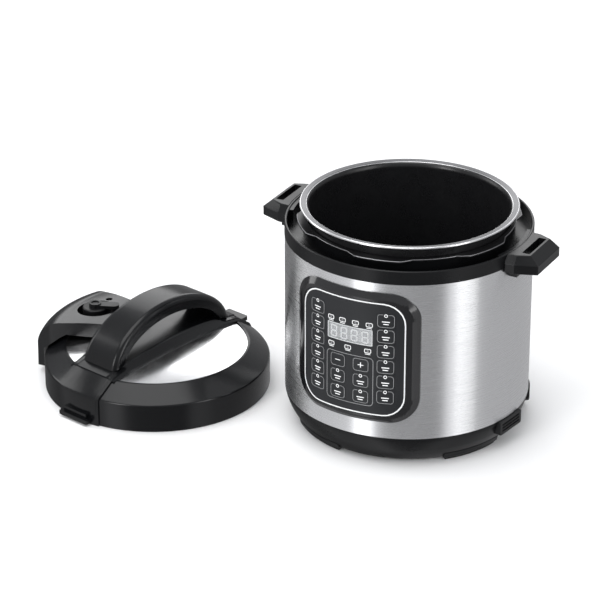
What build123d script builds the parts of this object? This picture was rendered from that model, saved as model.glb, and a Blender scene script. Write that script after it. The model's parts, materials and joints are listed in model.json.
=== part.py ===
from build123d import *
from math import cos, radians, sin, sqrt
import os

# Electric pressure cooker, open, with its lid lying on the worktop beside it.
# Millimetres. The origin is on the worktop under the middle of the cooker,
# +Z is up, the control panel faces -Y and the side handles lie along X.

os.makedirs("parts", exist_ok=True)

# ---------------------------------------------------------------- cooker body
SHELL_R = 136.2            # outside radius of the brushed steel shell
SHELL_T = 0.8
SHELL_BOTTOM = 36.3
SHELL_TOP = 220.5
COLLAR_R = 136.6           # plastic collar round the top of the body
COLLAR_TOP = 236.4
COLLAR_WALL = 3.0
COLLAR_FLOOR = 222.0       # floor of the trough that takes the lid's skirt
BASE_FLOOR = 5.0           # underside of the base moulding
BASE_R = 135.6             # top of the base moulding
BASE_T = 2.5
FOOT_ANGLES = (-117, -27, 63, 153)
FOOT_SPAN = 34             # degrees round the base that one foot takes
PAD_T = 2.5                # rubber pad under each foot

# ------------------------------------------------------------ pots and heater
POT_R = 109.3              # inside radius of the cooking pot
POT_WALL = 2.0
POT_RIM_R = 120.0
POT_RIM_TOP = 256.5
POT_FLOOR = 98.0           # inside bottom of the pot
POT_BASE_T = 2.5
WELL_R = 112.4             # inside radius of the fixed outer pot
WELL_T = 1.2
WELL_FLOOR = 70.0
FLANGE_TOP = 241.5         # bayonet flange on the outer pot
FLANGE_T = 2.5
LUG_R = 123.0
LUG_GAP_R = 117.0
LUG_COUNT = 6
FIRST_LUG = 40.0           # direction of one lug's middle, in degrees
PLATE_R = 88.0
PLATE_TOP = 95.2
PLATE_T = 12.0
SENSOR_R = 13.0

# -------------------------------------------------------------- control panel
PANEL_R = 141.2            # radius of the panel's curved face
PANEL_Z = 133.0            # height of the panel's middle
BEZEL_HALF_ANGLE = 31.2
BEZEL_HEIGHT = 154.0
BEZEL_SLOPE = (6.6, 4.6)   # width and depth of its sloping edge
FACE_HALF_ANGLE = 25.9
FACE_HEIGHT = 136.0
FACE_T = 1.8
KEY_GAP = 0.3
SIDE_KEY = (20.4, 16.9)
SIDE_KEY_ANGLE = 16.8
SIDE_KEY_TOP = 179.5       # middle of the highest key in the outer columns
SIDE_KEY_PITCH = 18.2
MID_KEY = (19.4, 16.4)
MID_KEY_ANGLE = 5.6
MID_KEY_TOP = 123.5
MID_KEY_PITCH = 18.9
DISPLAY = (54.0, 19.6)
DISPLAY_Z = 157.4
LAMP_R = 1.4
UPPER_LAMPS = (-9.2, -3.3, 3.0, 9.4)
UPPER_LAMP_Z = 172.5
LOWER_LAMPS = (-9.0, -0.6, 8.8)
LOWER_LAMP_Z = 141.5

# --------------------------------------------------------------- side handles
HANDLE_OUT = 167.0
HANDLE_BOTTOM = 216.4
HANDLE_LIP = 227.0         # where the side faces turn into the slopes
HANDLE_PAD = 143.0         # how far out the screwed pad under the handle goes
SLOT = (9.0, 44.0)
SLOT_X = 149.5
SCREW_R = 1.5
HANDLE_SCREWS = ((-24, 214), (24, 214))
HANDLE_SCREW_X = 129.9     # underside of the screw heads

# --------------------------------------------------------------- power inlet
INLET_ANGLE = 38.0         # direction of the socket, counted from +X
INLET_Z = 21.5
INLET_FACE = 137.6         # radius of its outer face
INLET_BODY = (40.0, 26.0)
SOCKET = (25.0, 17.0)
SOCKET_DEPTH = 17.0
OUTLET_ANGLE = -7.6        # direction of the air outlet, counted from +X
OUTLET_Z = 27.6

# ------------------------------------------------------------------------ lid
# The lid's own frame: x along its handle, z up, origin under its middle.
LID_AT = (-284.5, -67.5)
LID_TURN = 77.0
LID = Plane(
    origin=(LID_AT[0], LID_AT[1], 0),
    x_dir=(cos(radians(LID_TURN)), sin(radians(LID_TURN)), 0),
    z_dir=(0, 0, 1),
)
LID_LONG = Plane(origin=LID.origin, x_dir=LID.x_dir, z_dir=-LID.y_dir)
LID_CROSS = Plane(origin=LID.origin, x_dir=LID.y_dir, z_dir=LID.x_dir)
LID_AXIS = Axis(LID.origin, (0, 0, 1))
LID_R = 128.7
LID_CREASE = 30.5          # where the skirt turns into the sloping shoulder
LID_LIP_R = 103.6          # edge of the shoulder round the steel dome
DOME_TOP = 57.0
DOME_EDGE_R = 107.0
DOME_SPHERE = 520.3
DECK_HALF = 38.0           # half width of the strip under the handle
DECK_END_HALF = 32.0
DECK_TOP = 62.0
BRACKET_HALF = 30.0
FIN_OUT = 137.5
FIN_WIDTH = 42.0
FIN_Z = 2.6
FIN_T = 5.0
ARCH_HALF_SPAN = 96.0
ARCH_TOP = 106.0
ARCH_BASE = 46.0
ARCH_WIDTH = 44.0          # in the middle
ARCH_FOOT_WIDTH = 54.0     # at both ends
INNER_LID_TOP = 38.0
INNER_LID_R = 124.3
LID_LUG_R = 119.4
VALVE_TURN = 13.0          # the valve housing's middle line, from the lid's +y
VALVE_SIDE = LID.rotated((0, 0, VALVE_TURN))
VALVE_CROSS = Plane(origin=LID.origin, x_dir=VALVE_SIDE.y_dir, z_dir=VALVE_SIDE.x_dir)
VALVE_OUT = 82.0           # vent pipe's distance from the lid's middle
VALVE_WELL_R = 22.0        # round recess that the steam valve turns in
VALVE_WELL_FLOOR = 60.0
VENT_R = 4.0
FLOAT_AT = (27.0, 80.0)    # float pin, in the valve housing's frame
FLOAT_R = 2.2
FLOAT_BOTTOM = 27.0
LID_SCREWS = ((-70, 0), (70, 0))
GAP = 0.05                 # clearance between fitted faces of fixed pieces


def write(builder, name):
    builder.part.label = name
    export_step(builder.part, f"parts/{name}.step")


def panel_plane(angle, height, radius):
    """Plane facing outwards at an angle from the cooker's front."""
    a = radians(angle)
    return Plane(
        origin=(radius * sin(a), -radius * cos(a), height),
        x_dir=(cos(a), sin(a), 0),
        z_dir=(sin(a), -cos(a), 0),
    )


def spoke_plane(angle, radius, height):
    """Plane facing outwards at an angle counted from +X."""
    return panel_plane(angle + 90, height, radius)


def polar(radius, angle):
    return (radius * cos(radians(angle)), radius * sin(radians(angle)))


def dome_height(radius):
    return DOME_TOP - DOME_SPHERE + sqrt(DOME_SPHERE ** 2 - radius ** 2)


# ----------------------------------------------------------------- base parts
def handle_screw_bores():
    """Bores through the wall for both handles' screws."""
    with BuildPart() as bores:
        for side in (-1, 1):
            with BuildSketch(Plane.YZ.offset(side * 125)):
                with Locations(*HANDLE_SCREWS):
                    Circle(SCREW_R + GAP)
            extrude(amount=side * 17.2)
    return bores.part


def inlet_opening():
    """Block that cuts the opening for the socket body."""
    with BuildPart() as opening:
        with BuildSketch(spoke_plane(INLET_ANGLE, INLET_FACE + 1, INLET_Z)):
            RectangleRounded(INLET_BODY[0] + 2 * GAP, INLET_BODY[1] + 2 * GAP, 6)
        extrude(amount=-30)
    return opening.part


def make_base_housing():
    opening = inlet_opening()
    with BuildPart() as base:
        with BuildSketch(Plane.XZ):
            with BuildLine():
                Polyline((92, BASE_FLOOR), (114, BASE_FLOOR), (116, 3), (120, 3.4))
                ThreePointArc((120, 3.4), (130, 17.4), (BASE_R, 33))
                Polyline(
                    (BASE_R, 33), (BASE_R, SHELL_BOTTOM), (134.9, SHELL_BOTTOM), (134.9, 45),
                    (132.6, 45), (132.6, 33),
                )
                ThreePointArc((132.6, 33), (127.3, 19), (118, BASE_FLOOR + BASE_T))
                Polyline((118, BASE_FLOOR + BASE_T), (92, BASE_FLOOR + BASE_T), (92, BASE_FLOOR))
            make_face()
        revolve(axis=Axis.Z)
        # solid feet moulded into the bowl
        for angle in FOOT_ANGLES:
            with BuildSketch(Plane.XZ.rotated((0, 0, angle - FOOT_SPAN / 2))):
                with BuildLine():
                    Polyline((106, PAD_T), (122.4, PAD_T), (124.2, 4), (125.6, 9.5), (122.6, 9.5),
                             (118, 6.5), (106, 6.5), close=True)
                make_face()
            revolve(axis=Axis.Z, revolution_arc=FOOT_SPAN)
        # louvred air outlet on the right
        with BuildSketch(spoke_plane(OUTLET_ANGLE, 127, OUTLET_Z)):
            RectangleRounded(42, 16, 2)
        extrude(amount=11.4)
        with BuildSketch(spoke_plane(OUTLET_ANGLE, 142, OUTLET_Z)):
            with GridLocations(1, 3.6, 1, 3):
                RectangleRounded(34, 1.8, 0.8)
        extrude(amount=-8, mode=Mode.SUBTRACT)
        with BuildSketch(Plane.XY.offset(BASE_FLOOR)):
            with PolarLocations(96, 4, start_angle=45):
                Circle(SCREW_R + GAP)
        extrude(amount=BASE_T, mode=Mode.SUBTRACT)
        add(opening, mode=Mode.SUBTRACT)
    write(base, "base_housing")


def make_bottom_cover():
    with BuildPart() as cover:
        with BuildSketch(Plane.XY.offset(BASE_FLOOR - 1.6)):
            Circle(100)
            for ring in (38, 56, 74):
                with PolarLocations(ring, 12):
                    SlotOverall(13, 3, rotation=90, mode=Mode.SUBTRACT)
            with PolarLocations(96, 4, start_angle=45):
                Circle(SCREW_R + GAP, mode=Mode.SUBTRACT)
        extrude(amount=1.6)
    write(cover, "bottom_cover")


def make_feet():
    with BuildPart() as feet:
        for angle in FOOT_ANGLES:
            with BuildSketch(Plane.XZ.rotated((0, 0, angle - FOOT_SPAN / 2 + 1))):
                with BuildLine():
                    Polyline((108, PAD_T), (108, 0.8), (108.8, 0), (121.2, 0), (122, 0.8),
                             (122, PAD_T), close=True)
                make_face()
            revolve(axis=Axis.Z, revolution_arc=FOOT_SPAN - 2)
    write(feet, "feet")


def make_steel_shell():
    opening = inlet_opening()
    bores = handle_screw_bores()
    with BuildPart() as shell:
        with BuildSketch(Plane.XY.offset(SHELL_BOTTOM + GAP)):
            Circle(SHELL_R)
            Circle(SHELL_R - SHELL_T, mode=Mode.SUBTRACT)
        extrude(amount=SHELL_TOP - SHELL_BOTTOM - 2 * GAP)
        with BuildSketch(Plane.XZ.offset(100)):
            with Locations((0, PANEL_Z)):
                RectangleRounded(112, 124, 18)
        extrude(amount=50, mode=Mode.SUBTRACT)
        add(opening, mode=Mode.SUBTRACT)
        add(bores, mode=Mode.SUBTRACT)
    write(shell, "steel_shell")


def make_collar():
    wall_in = COLLAR_R - COLLAR_WALL
    floor_under = COLLAR_FLOOR - 3
    bores = handle_screw_bores()
    with BuildPart() as collar:
        with BuildSketch(Plane.XZ):
            with BuildLine():
                Polyline(
                    (114.2, floor_under), (114.2, FLANGE_TOP - FLANGE_T - GAP),
                    (115.8, FLANGE_TOP - FLANGE_T - GAP), (115.8, COLLAR_FLOOR),
                    (wall_in, COLLAR_FLOOR), (wall_in, COLLAR_TOP - 0.8),
                    (wall_in + 0.8, COLLAR_TOP), (COLLAR_R - 0.8, COLLAR_TOP),
                    (COLLAR_R, COLLAR_TOP - 0.8), (COLLAR_R, SHELL_TOP + GAP),
                    (135.2, SHELL_TOP + GAP), (135.2, 208), (132.8, 208),
                    (132.8, floor_under), close=True,
                )
            make_face()
        revolve(axis=Axis.Z)
        # ledges along the wall beside both handles
        for angle in (0, 180):
            with BuildSketch(Plane.XZ.rotated((0, 0, angle - 17))):
                with Locations((131.5, 228.5)):
                    Rectangle(4.4, 13.4)
            revolve(axis=Axis.Z, revolution_arc=34)
        add(bores, mode=Mode.SUBTRACT)
    write(collar, "collar")


def handle_outline(side, root_half, mid_x, mid_half, tip_x, tip_half):
    """Plan of a side handle at one height, from its root to its tip."""
    corners = [
        (side * 126, -root_half), (side * mid_x, -mid_half), (side * tip_x, -tip_half),
        (side * tip_x, tip_half), (side * mid_x, mid_half), (side * 126, root_half),
    ]
    with BuildSketch(Plane.XY) as outline:
        Polygon(*corners, align=None)
    return outline.sketch


def make_side_handle(name, side):
    bores = handle_screw_bores()
    foot = handle_outline(side, 38, 143, 37, HANDLE_OUT, 28)
    crest = handle_outline(side, 32, 143, 31, HANDLE_OUT - 10.5, 25)
    with BuildPart() as handle:
        with BuildSketch(Plane.XY.offset(HANDLE_BOTTOM)):
            add(foot)
        extrude(amount=HANDLE_LIP - HANDLE_BOTTOM)
        with BuildSketch(Plane.XY.offset(HANDLE_LIP)):
            add(foot)
        with BuildSketch(Plane.XY.offset(COLLAR_TOP)):
            add(crest)
        loft(ruled=True)
        with BuildSketch(Plane.XY.offset(HANDLE_BOTTOM - 10)):
            Circle(COLLAR_R + GAP)
        extrude(amount=40, mode=Mode.SUBTRACT)
        corners = handle.edges().filter_by(lambda e: abs(e.center().X) > 130)
        fillet(corners.filter_by(lambda e: e.geom_type == GeomType.LINE), 1.2)
        # pad under the handle, which takes the screws
        with BuildSketch(Plane.XY.offset(209.5)):
            with Locations((side * (HANDLE_PAD - 8), 0)):
                Rectangle(16, 58)
        extrude(amount=8)
        with BuildSketch(Plane.XY.offset(HANDLE_BOTTOM - 10)):
            with Locations((side * SLOT_X, 0)):
                RectangleRounded(SLOT[0], SLOT[1], 1.2)
        extrude(amount=40, mode=Mode.SUBTRACT)
        add(bores, mode=Mode.SUBTRACT)
        with BuildSketch(Plane.XY.offset(HANDLE_BOTTOM - 10)):
            Circle(COLLAR_R + GAP)
        extrude(amount=40, mode=Mode.SUBTRACT)
    write(handle, name)


def make_housing_screws():
    with BuildPart() as screws:
        # handle screws, driven outwards from inside the body
        for side in (-1, 1):
            with BuildSketch(Plane.YZ.offset(side * HANDLE_SCREW_X)):
                with Locations(*HANDLE_SCREWS):
                    Circle(SCREW_R)
            extrude(amount=side * 12)
            with BuildSketch(Plane.YZ.offset(side * HANDLE_SCREW_X)):
                with Locations(*HANDLE_SCREWS):
                    Circle(2.8)
            extrude(amount=-side * 1.8)
        # base cover screws, driven upwards
        with BuildSketch(Plane.XY.offset(BASE_FLOOR - 1.7)):
            with PolarLocations(96, 4, start_angle=45):
                Circle(2.8)
        extrude(amount=-1.2)
        with BuildSketch(Plane.XY.offset(BASE_FLOOR - 1.7)):
            with PolarLocations(96, 4, start_angle=45):
                Circle(SCREW_R)
        extrude(amount=4)
    write(screws, "housing_screws")


# ------------------------------------------------------------ pots and heater
def flange_outline():
    """Wavy edge of the bayonet flange: lugs and gaps of equal angle."""
    step = 360 / LUG_COUNT
    ramp = 3
    with BuildSketch(Plane.XY) as outline:
        with BuildLine():
            for i in range(LUG_COUNT):
                middle = FIRST_LUG + i * step
                lug_start = middle - step / 4 + ramp
                lug_end = middle + step / 4 - ramp
                gap_start = middle + step / 4 + ramp
                gap_end = middle + 3 * step / 4 - ramp
                ThreePointArc(polar(LUG_R, lug_start), polar(LUG_R, middle), polar(LUG_R, lug_end))
                Line(polar(LUG_R, lug_end), polar(LUG_GAP_R, gap_start))
                ThreePointArc(polar(LUG_GAP_R, gap_start), polar(LUG_GAP_R, middle + step / 2),
                              polar(LUG_GAP_R, gap_end))
                Line(polar(LUG_GAP_R, gap_end), polar(LUG_R, lug_start + step))
        make_face()
    return outline.sketch


def make_outer_pot():
    outer = WELL_R + WELL_T
    flange = flange_outline()
    with BuildPart() as well:
        with BuildSketch(Plane.XZ):
            with BuildLine():
                Polyline((62, WELL_FLOOR), (100, WELL_FLOOR))
                RadiusArc((100, WELL_FLOOR), (outer, WELL_FLOOR + 13.6), -13.6)
                Polyline((outer, WELL_FLOOR + 13.6), (outer, FLANGE_TOP - 1), (WELL_R, FLANGE_TOP - 1),
                         (WELL_R, WELL_FLOOR + 13.6))
                RadiusArc((WELL_R, WELL_FLOOR + 13.6), (100, WELL_FLOOR + WELL_T), 12.4)
                Polyline((100, WELL_FLOOR + WELL_T), (62, WELL_FLOOR + WELL_T), (62, WELL_FLOOR))
            make_face()
        revolve(axis=Axis.Z)
        with BuildSketch(Plane.XY.offset(FLANGE_TOP - FLANGE_T)):
            add(flange)
            Circle(WELL_R, mode=Mode.SUBTRACT)
        extrude(amount=FLANGE_T)
        with BuildSketch(Plane.XY.offset(WELL_FLOOR)):
            Circle(70)
            Circle(18, mode=Mode.SUBTRACT)
            with PolarLocations(42, 3):
                Circle(8, mode=Mode.SUBTRACT)
        extrude(amount=WELL_T)
    write(well, "outer_pot")


def make_inner_pot():
    out = POT_R + POT_WALL
    bend = 14.0
    under = POT_FLOOR - POT_BASE_T
    with BuildPart() as pot:
        with BuildSketch(Plane.XZ):
            with BuildLine():
                Line((0, under), (out - bend - 1, under))
                ThreePointArc((out - bend - 1, under), (out - 4.3, under + 4.2), (out, under + bend))
                Line((out, under + bend), (out, POT_RIM_TOP - 7.5))
                ThreePointArc((out, POT_RIM_TOP - 7.5), (out + 1.6, POT_RIM_TOP - 3.7),
                              (out + 4.4, POT_RIM_TOP - 2.6))
                Line((out + 4.4, POT_RIM_TOP - 2.6), (POT_RIM_R - 0.8, POT_RIM_TOP - 2.4))
                ThreePointArc((POT_RIM_R - 0.8, POT_RIM_TOP - 2.4), (POT_RIM_R, POT_RIM_TOP - 1.3),
                              (POT_RIM_R - 1.2, POT_RIM_TOP))
                Line((POT_RIM_R - 1.2, POT_RIM_TOP), (POT_R + 5.6, POT_RIM_TOP - 0.5))
                ThreePointArc((POT_R + 5.6, POT_RIM_TOP - 0.5), (POT_R + 1.4, POT_RIM_TOP - 2.6),
                              (POT_R, POT_RIM_TOP - 7.5))
                Line((POT_R, POT_RIM_TOP - 7.5), (POT_R, POT_FLOOR + bend - 2))
                ThreePointArc((POT_R, POT_FLOOR + bend - 2), (POT_R - 4, POT_FLOOR + 3.6),
                              (POT_R - bend + 1, POT_FLOOR))
                Line((POT_R - bend + 1, POT_FLOOR), (0, POT_FLOOR))
                Line((0, POT_FLOOR), (0, under))
            make_face()
        revolve(axis=Axis.Z)
    write(pot, "inner_pot")


def make_heating_plate():
    with BuildPart() as plate:
        with BuildSketch(Plane.XY.offset(PLATE_TOP - PLATE_T)):
            Circle(PLATE_R)
            Circle(SENSOR_R + 1.5, mode=Mode.SUBTRACT)
        extrude(amount=PLATE_T)
        top_edge = plate.edges().filter_by(GeomType.CIRCLE).sort_by(SortBy.RADIUS)[-2:]
        chamfer(top_edge.sort_by(Axis.Z)[-1], 1.5)
        # three legs that stand on the outer pot's floor
        with BuildSketch(Plane.XY.offset(WELL_FLOOR + WELL_T)):
            with PolarLocations(78, 3, start_angle=30):
                Circle(5)
        extrude(amount=PLATE_TOP - PLATE_T - WELL_FLOOR - WELL_T)
    write(plate, "heating_plate")


def make_heating_element():
    tube = 3.4
    with BuildPart() as element:
        with BuildSketch(Plane.XZ):
            with Locations((62, PLATE_TOP - PLATE_T - tube)):
                Circle(tube)
        revolve(axis=Axis.Z, revolution_arc=330)
        # terminals at both ends of the ring
        for angle in (0, -30):
            with BuildSketch(Plane.XZ.rotated((0, 0, angle + (2 if angle == 0 else -2)))):
                with Locations((62, PLATE_TOP - PLATE_T - tube - 3)):
                    Rectangle(4, 8)
            extrude(amount=1, both=True)
    write(element, "heating_element")


def make_temperature_sensor():
    with BuildPart() as sensor:
        with BuildSketch(Plane.XY.offset(PLATE_TOP - 5)):
            Circle(SENSOR_R)
        extrude(amount=5)
        fillet(sensor.edges().group_by(Axis.Z)[-1], 1)
        with BuildSketch(Plane.XY.offset(PLATE_TOP - 15)):
            Circle(4)
        extrude(amount=10)
    write(sensor, "temperature_sensor")


def make_sensor_bracket():
    with BuildPart() as bracket:
        with BuildSketch(Plane.XY.offset(WELL_FLOOR + WELL_T)):
            Circle(24)
            Circle(5, mode=Mode.SUBTRACT)
        extrude(amount=1.2)
        with BuildSketch(Plane.XY.offset(WELL_FLOOR + WELL_T)):
            Circle(9.4)
            Circle(8, mode=Mode.SUBTRACT)
        extrude(amount=8)
    write(bracket, "sensor_bracket")


def make_sensor_spring():
    wire = 0.6
    bottom = WELL_FLOOR + WELL_T + 1.2 + wire
    top = PLATE_TOP - 5 - wire
    with BuildPart() as spring:
        with BuildLine():
            coil = Helix(pitch=(top - bottom) / 5, height=top - bottom, radius=6.2,
                         center=(0, 0, bottom))
        with BuildSketch(Plane(origin=coil @ 0, z_dir=coil % 0)):
            Circle(wire)
        sweep(is_frenet=True)
    write(spring, "sensor_spring")


def make_thermal_fuse():
    with BuildPart() as fuse:
        with BuildSketch(Plane.YZ.offset(-8)):
            with Locations((-88, WELL_FLOOR - 2.6)):
                Circle(2.6)
        extrude(amount=16)
        with BuildSketch(Plane.YZ.offset(-22)):
            with Locations((-88, WELL_FLOOR - 2.6)):
                Circle(0.5)
        extrude(amount=44)
    write(fuse, "thermal_fuse")


def make_power_board():
    with BuildPart() as board:
        with BuildSketch(Plane.XY.offset(14)):
            with Locations((0, 45)):
                Rectangle(96, 66)
        extrude(amount=1.6)
        # four pillars that stand on the base cover
        with BuildSketch(Plane.XY.offset(BASE_FLOOR)):
            with Locations((0, 45)):
                with GridLocations(70, 50, 2, 2):
                    Circle(3)
        extrude(amount=9)
        # relay, transformer, capacitor, fuse holder and terminal block
        for x, y, length, width, height in (
            (-30, 58, 20, 16, 16), (4, 56, 24, 20, 18), (32, 62, 14, 14, 22),
            (-28, 30, 26, 8, 9), (18, 26, 34, 10, 11),
        ):
            with BuildSketch(Plane.XY.offset(15.6)):
                with Locations((x, y)):
                    RectangleRounded(length, width, 1.5)
            extrude(amount=height)
    write(board, "power_board")


# ----------------------------------------------------------- power inlet, cup
def make_power_inlet():
    with BuildPart() as inlet:
        with BuildSketch(spoke_plane(INLET_ANGLE, INLET_FACE, INLET_Z)):
            RectangleRounded(INLET_BODY[0], INLET_BODY[1], 6)
        extrude(amount=-21.5)
        outer_face = inlet.faces().filter_by(GeomType.PLANE).sort_by(SortBy.AREA)[-2:]
        fillet(outer_face.sort_by(Axis.Y)[-1].edges(), 1.5)
        with BuildSketch(spoke_plane(INLET_ANGLE, INLET_FACE, INLET_Z)):
            RectangleRounded(SOCKET[0], SOCKET[1], 3)
        extrude(amount=-SOCKET_DEPTH, mode=Mode.SUBTRACT)
    write(inlet, "power_inlet")


def make_inlet_pins():
    with BuildPart() as pins:
        with BuildSketch(spoke_plane(INLET_ANGLE, INLET_FACE - SOCKET_DEPTH + GAP, INLET_Z)):
            with Locations((-7, -2), (0, 2), (7, -2)):
                Rectangle(2, 4)
        extrude(amount=10.5)
    write(pins, "inlet_pins")


def make_cup_bracket():
    with BuildPart() as bracket:
        with BuildSketch(Plane.XZ.offset(-SHELL_R - 14)):
            with Locations((0, 201)):
                RectangleRounded(50, 16, 2)
        extrude(amount=16)
        with BuildSketch(Plane.XZ.offset(-SHELL_R - 20)):
            with Locations((0, 201)):
                Rectangle(42, 8)
        extrude(amount=18, mode=Mode.SUBTRACT)
        with BuildSketch(Plane.XY.offset(180)):
            Circle(SHELL_R + GAP)
        extrude(amount=40, mode=Mode.SUBTRACT)
    write(bracket, "cup_bracket")


def make_condensation_cup():
    back = SHELL_R + 6
    with BuildPart() as cup:
        with BuildSketch(Plane.XY.offset(150)):
            with Locations((0, back + 12)):
                RectangleRounded(48, 24, 5)
        extrude(amount=42)
        with BuildSketch(Plane.XY.offset(151.8)):
            with Locations((0, back + 12)):
                RectangleRounded(44.4, 20.4, 3.5)
        extrude(amount=50, mode=Mode.SUBTRACT)
        # tongue that slides into the bracket
        with BuildSketch(Plane.XY.offset(198)):
            with Locations((0, back + 12)):
                Rectangle(41, 24)
        extrude(amount=3)
        with BuildSketch(Plane.XY.offset(192)):
            with Locations((0, back + 20)):
                Rectangle(41, 6)
        extrude(amount=6)
    write(cup, "condensation_cup")


# -------------------------------------------------------------- control panel
def key_sites():
    """Name, angle from the front, height and size of every key."""
    sites = []
    for row in range(6):
        z = SIDE_KEY_TOP - row * SIDE_KEY_PITCH
        sites.append((f"key_left_{row + 1}", -SIDE_KEY_ANGLE, z, SIDE_KEY))
        sites.append((f"key_right_{row + 1}", SIDE_KEY_ANGLE, z, SIDE_KEY))
    for row in range(3):
        z = MID_KEY_TOP - row * MID_KEY_PITCH
        sites.append((f"key_middle_{2 * row + 1}", -MID_KEY_ANGLE, z, MID_KEY))
        sites.append((f"key_middle_{2 * row + 2}", MID_KEY_ANGLE, z, MID_KEY))
    return sites


def lamp_sites():
    upper = [(angle, UPPER_LAMP_Z) for angle in UPPER_LAMPS]
    return upper + [(angle, LOWER_LAMP_Z) for angle in LOWER_LAMPS]


def curved_block(inner, outer, half_angle, height, corner):
    """Slab that follows the body's curve, with the panel's rounded outline."""
    ring = body_ring(inner, outer)
    with BuildPart() as slab:
        with BuildSketch(Plane.XZ.offset(105)):
            with Locations((0, PANEL_Z)):
                RectangleRounded(2 * PANEL_R * sin(radians(half_angle)), height, corner)
        extrude(amount=45)
        add(ring, mode=Mode.INTERSECT)
    return slab.part


def body_ring(inner, outer):
    """Ring round the body's axis over the panel's height."""
    with BuildPart() as ring:
        with BuildSketch(Plane.XY.offset(40)):
            Circle(outer)
            Circle(inner, mode=Mode.SUBTRACT)
        extrude(amount=180)
    return ring.part


def make_control_bezel():
    front = PANEL_R + 0.8
    blank = curved_block(SHELL_R + GAP, front, BEZEL_HALF_ANGLE, BEZEL_HEIGHT, 31)
    recess = curved_block(PANEL_R - FACE_T - GAP, front + 5, FACE_HALF_ANGLE, FACE_HEIGHT, 22)
    window = curved_block(120, front + 5, FACE_HALF_ANGLE - 1.6, FACE_HEIGHT - 8, 18)
    with BuildPart() as bezel:
        add(blank)
        outer_face = bezel.faces().filter_by(GeomType.CYLINDER).sort_by(Axis.Y)[0]
        chamfer(outer_face.edges(), length=BEZEL_SLOPE[0], length2=BEZEL_SLOPE[1], reference=outer_face)
        add(window, mode=Mode.SUBTRACT)
        add(recess, mode=Mode.SUBTRACT)
    write(bezel, "control_bezel")


def make_control_overlay():
    blank = curved_block(PANEL_R - FACE_T, PANEL_R, FACE_HALF_ANGLE - 0.05, FACE_HEIGHT - 2 * GAP, 22)
    with BuildPart() as overlay:
        add(blank)
        for _, angle, height, size in key_sites():
            with BuildSketch(panel_plane(angle, height, PANEL_R + 6)):
                RectangleRounded(size[0], size[1], 4)
            extrude(amount=-14, mode=Mode.SUBTRACT)
        with BuildSketch(panel_plane(0, DISPLAY_Z, PANEL_R + 6)):
            RectangleRounded(DISPLAY[0], DISPLAY[1], 0.8)
        extrude(amount=-14, mode=Mode.SUBTRACT)
        for angle, height in lamp_sites():
            with BuildSketch(panel_plane(angle, height, PANEL_R + 6)):
                Circle(LAMP_R)
            extrude(amount=-14, mode=Mode.SUBTRACT)
    write(overlay, "control_overlay")


def make_display_lens():
    ring = body_ring(PANEL_R - FACE_T, PANEL_R + 0.2)
    with BuildPart() as lens:
        with BuildSketch(panel_plane(0, DISPLAY_Z, PANEL_R + 6)):
            RectangleRounded(DISPLAY[0] - 2 * GAP, DISPLAY[1] - 2 * GAP, 0.8)
        extrude(amount=-18)
        add(ring, mode=Mode.INTERSECT)
    write(lens, "display_lens")


def make_indicator_lamps():
    with BuildPart() as lamps:
        for angle, height in lamp_sites():
            with BuildSketch(panel_plane(angle, height, PANEL_R + 0.1)):
                Circle(LAMP_R - GAP)
            extrude(amount=-4)
    write(lamps, "indicator_lamps")


def make_key(name, angle, height, size):
    ring = body_ring(PANEL_R - 1.6, PANEL_R + 0.15)
    with BuildPart() as key:
        with BuildSketch(panel_plane(angle, height, PANEL_R + 6)):
            RectangleRounded(size[0] - 2 * KEY_GAP, size[1] - 2 * KEY_GAP, 4 - KEY_GAP)
        extrude(amount=-16)
        add(ring, mode=Mode.INTERSECT)
        with BuildSketch(panel_plane(angle, height, PANEL_R - 1)):
            Circle(2.2)
        extrude(amount=-4.5)
    write(key, name)


def make_display_module():
    with BuildPart() as module:
        with BuildSketch(Plane.XZ.offset(127)):
            with Locations((0, DISPLAY_Z)):
                RectangleRounded(50, 19, 1)
        extrude(amount=8)
    write(module, "display_module")


def make_control_board():
    with BuildPart() as board:
        with BuildSketch(Plane.XZ.offset(117)):
            with Locations((0, PANEL_Z)):
                RectangleRounded(78, 116, 4)
        extrude(amount=1.6)
        with BuildSketch(Plane.XZ.offset(118.6)):
            with Locations((0, DISPLAY_Z)):
                Rectangle(40, 14)
        extrude(amount=8.4)
    write(board, "control_board")


# ------------------------------------------------------------------------ lid
def shoulder_outline(grow):
    """Section of the lid cover's outside, grown for cutting neighbours."""
    return [
        (LID_R + grow, -1), (LID_R + grow, LID_CREASE), (LID_R - 1.6, LID_CREASE + 2.6 + grow),
        (107, 47.5 + grow), (LID_LIP_R, 48.3 + grow), (LID_LIP_R - grow, 48.3 + grow),
    ]


def make_lid_cover():
    with BuildPart() as cover:
        with BuildSketch(LID_LONG):
            with BuildLine():
                Polyline(
                    (126.5, 0), (128.1, 0), (LID_R, 0.8), (LID_R, LID_CREASE),
                    (LID_R - 1.6, LID_CREASE + 2.6), (107, 47.5), (LID_LIP_R, 48.3),
                    (LID_LIP_R, dome_height(LID_LIP_R) + GAP),
                    (DOME_EDGE_R + 0.2, dome_height(DOME_EDGE_R) + GAP),
                    (107.4, INNER_LID_TOP + GAP), (109.8, INNER_LID_TOP + GAP),
                    (110.4, 41.6), (124.8, 31.6), (126.5, 29.4), close=True,
                )
            make_face()
        revolve(axis=LID_AXIS)
    write(cover, "lid_cover")


def dome_cap(inset):
    """Solid dome with a straight edge, inset all over by a thickness."""
    foot = INNER_LID_TOP + GAP
    with BuildPart() as cap:
        with BuildSketch(LID.offset(foot)):
            Circle(DOME_EDGE_R - inset)
        extrude(amount=DOME_TOP - foot)
        with Locations(LID.offset(DOME_TOP - DOME_SPHERE)):
            Sphere(DOME_SPHERE - inset, rotation=(90, 0, 0), mode=Mode.INTERSECT)
    return cap.part


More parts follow.
